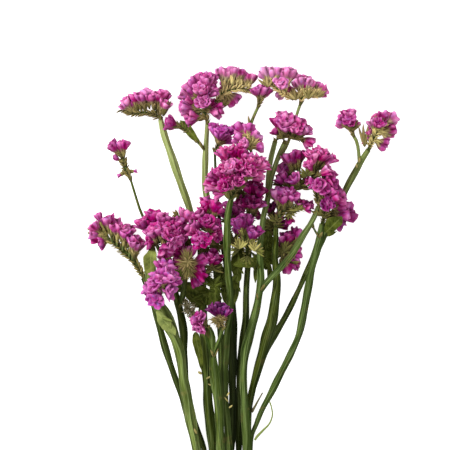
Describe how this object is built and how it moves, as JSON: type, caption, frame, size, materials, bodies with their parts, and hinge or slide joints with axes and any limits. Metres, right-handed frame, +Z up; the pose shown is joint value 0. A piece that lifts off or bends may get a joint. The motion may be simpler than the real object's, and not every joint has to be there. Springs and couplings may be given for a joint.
{
  "type": "dried statice bunch",
  "caption": "Loose bunch of dried statice lying on its side: winged green stems with side branches, papery magenta flower heads and a few free leaves.",
  "frame": {"origin": "centre of the bounding box seen from above, on the surface the bunch lies on", "axes": "+Z up off the surface, +Y from the cut stem ends towards the flowers, +X to the right as seen from above"},
  "size_m": [0.2667, 0.4712, 0.0842],
  "materials": {
    "stem": "matte",
    "flower": "matte",
    "leaf": "matte",
    "dried": "matte"
  },
  "bodies": {
    "root": {"stem_left_outer": "stem", "stem_left_winged": "stem", "stem_left_thin": "stem", "stem_left_tall": "stem", "stem_front_forked": "stem", "stem_front_long": "stem", "stem_middle_dark": "stem", "stem_middle_tall": "stem", "stem_centre_branched": "stem", "stem_centre_thin": "stem", "stem_right_broad": "stem", "stem_far_right": "stem", "stem_right": "stem", "head_top_left": "flower", "head_left_small": "flower", "head_top_round": "flower", "head_top_turned": "flower", "head_left_bud": "flower", "head_upper_funnel": "flower", "head_front_top": "flower", "head_front": "flower", "head_behind_front": "flower", "head_middle_dark": "flower", "head_centre_green": "flower", "head_centre_left": "flower", "head_left_spike": "flower", "head_left_mass": "flower", "head_left_low": "flower", "head_turned_away": "flower", "head_dark_small": "flower", "head_right_low": "flower", "head_right_dark": "flower", "head_right_pale": "flower", "head_right_bud": "flower", "head_right_upper": "flower", "head_right_inner": "flower", "head_right_large": "flower", "head_far_right_small": "flower", "head_far_right": "flower", "head_upper_right": "flower", "head_top_pale": "flower", "head_top_right": "flower", "head_top_small": "flower", "head_low_purple": "flower", "head_low_pink": "flower", "leaf_low_left": "leaf", "leaf_right": "leaf", "leaf_centre": "leaf", "leaf_dark_upper": "leaf", "leaf_right_inner": "leaf", "bract_right": "leaf", "leaf_behind_centre": "leaf", "leaf_dark_left": "leaf", "leaf_dark_middle": "leaf", "leaf_left_back": "leaf", "leaf_left_wing": "leaf", "dried_calyx": "dried", "dried_tendril": "dried", "dried_twig": "dried"}
  },
  "joints": []
}
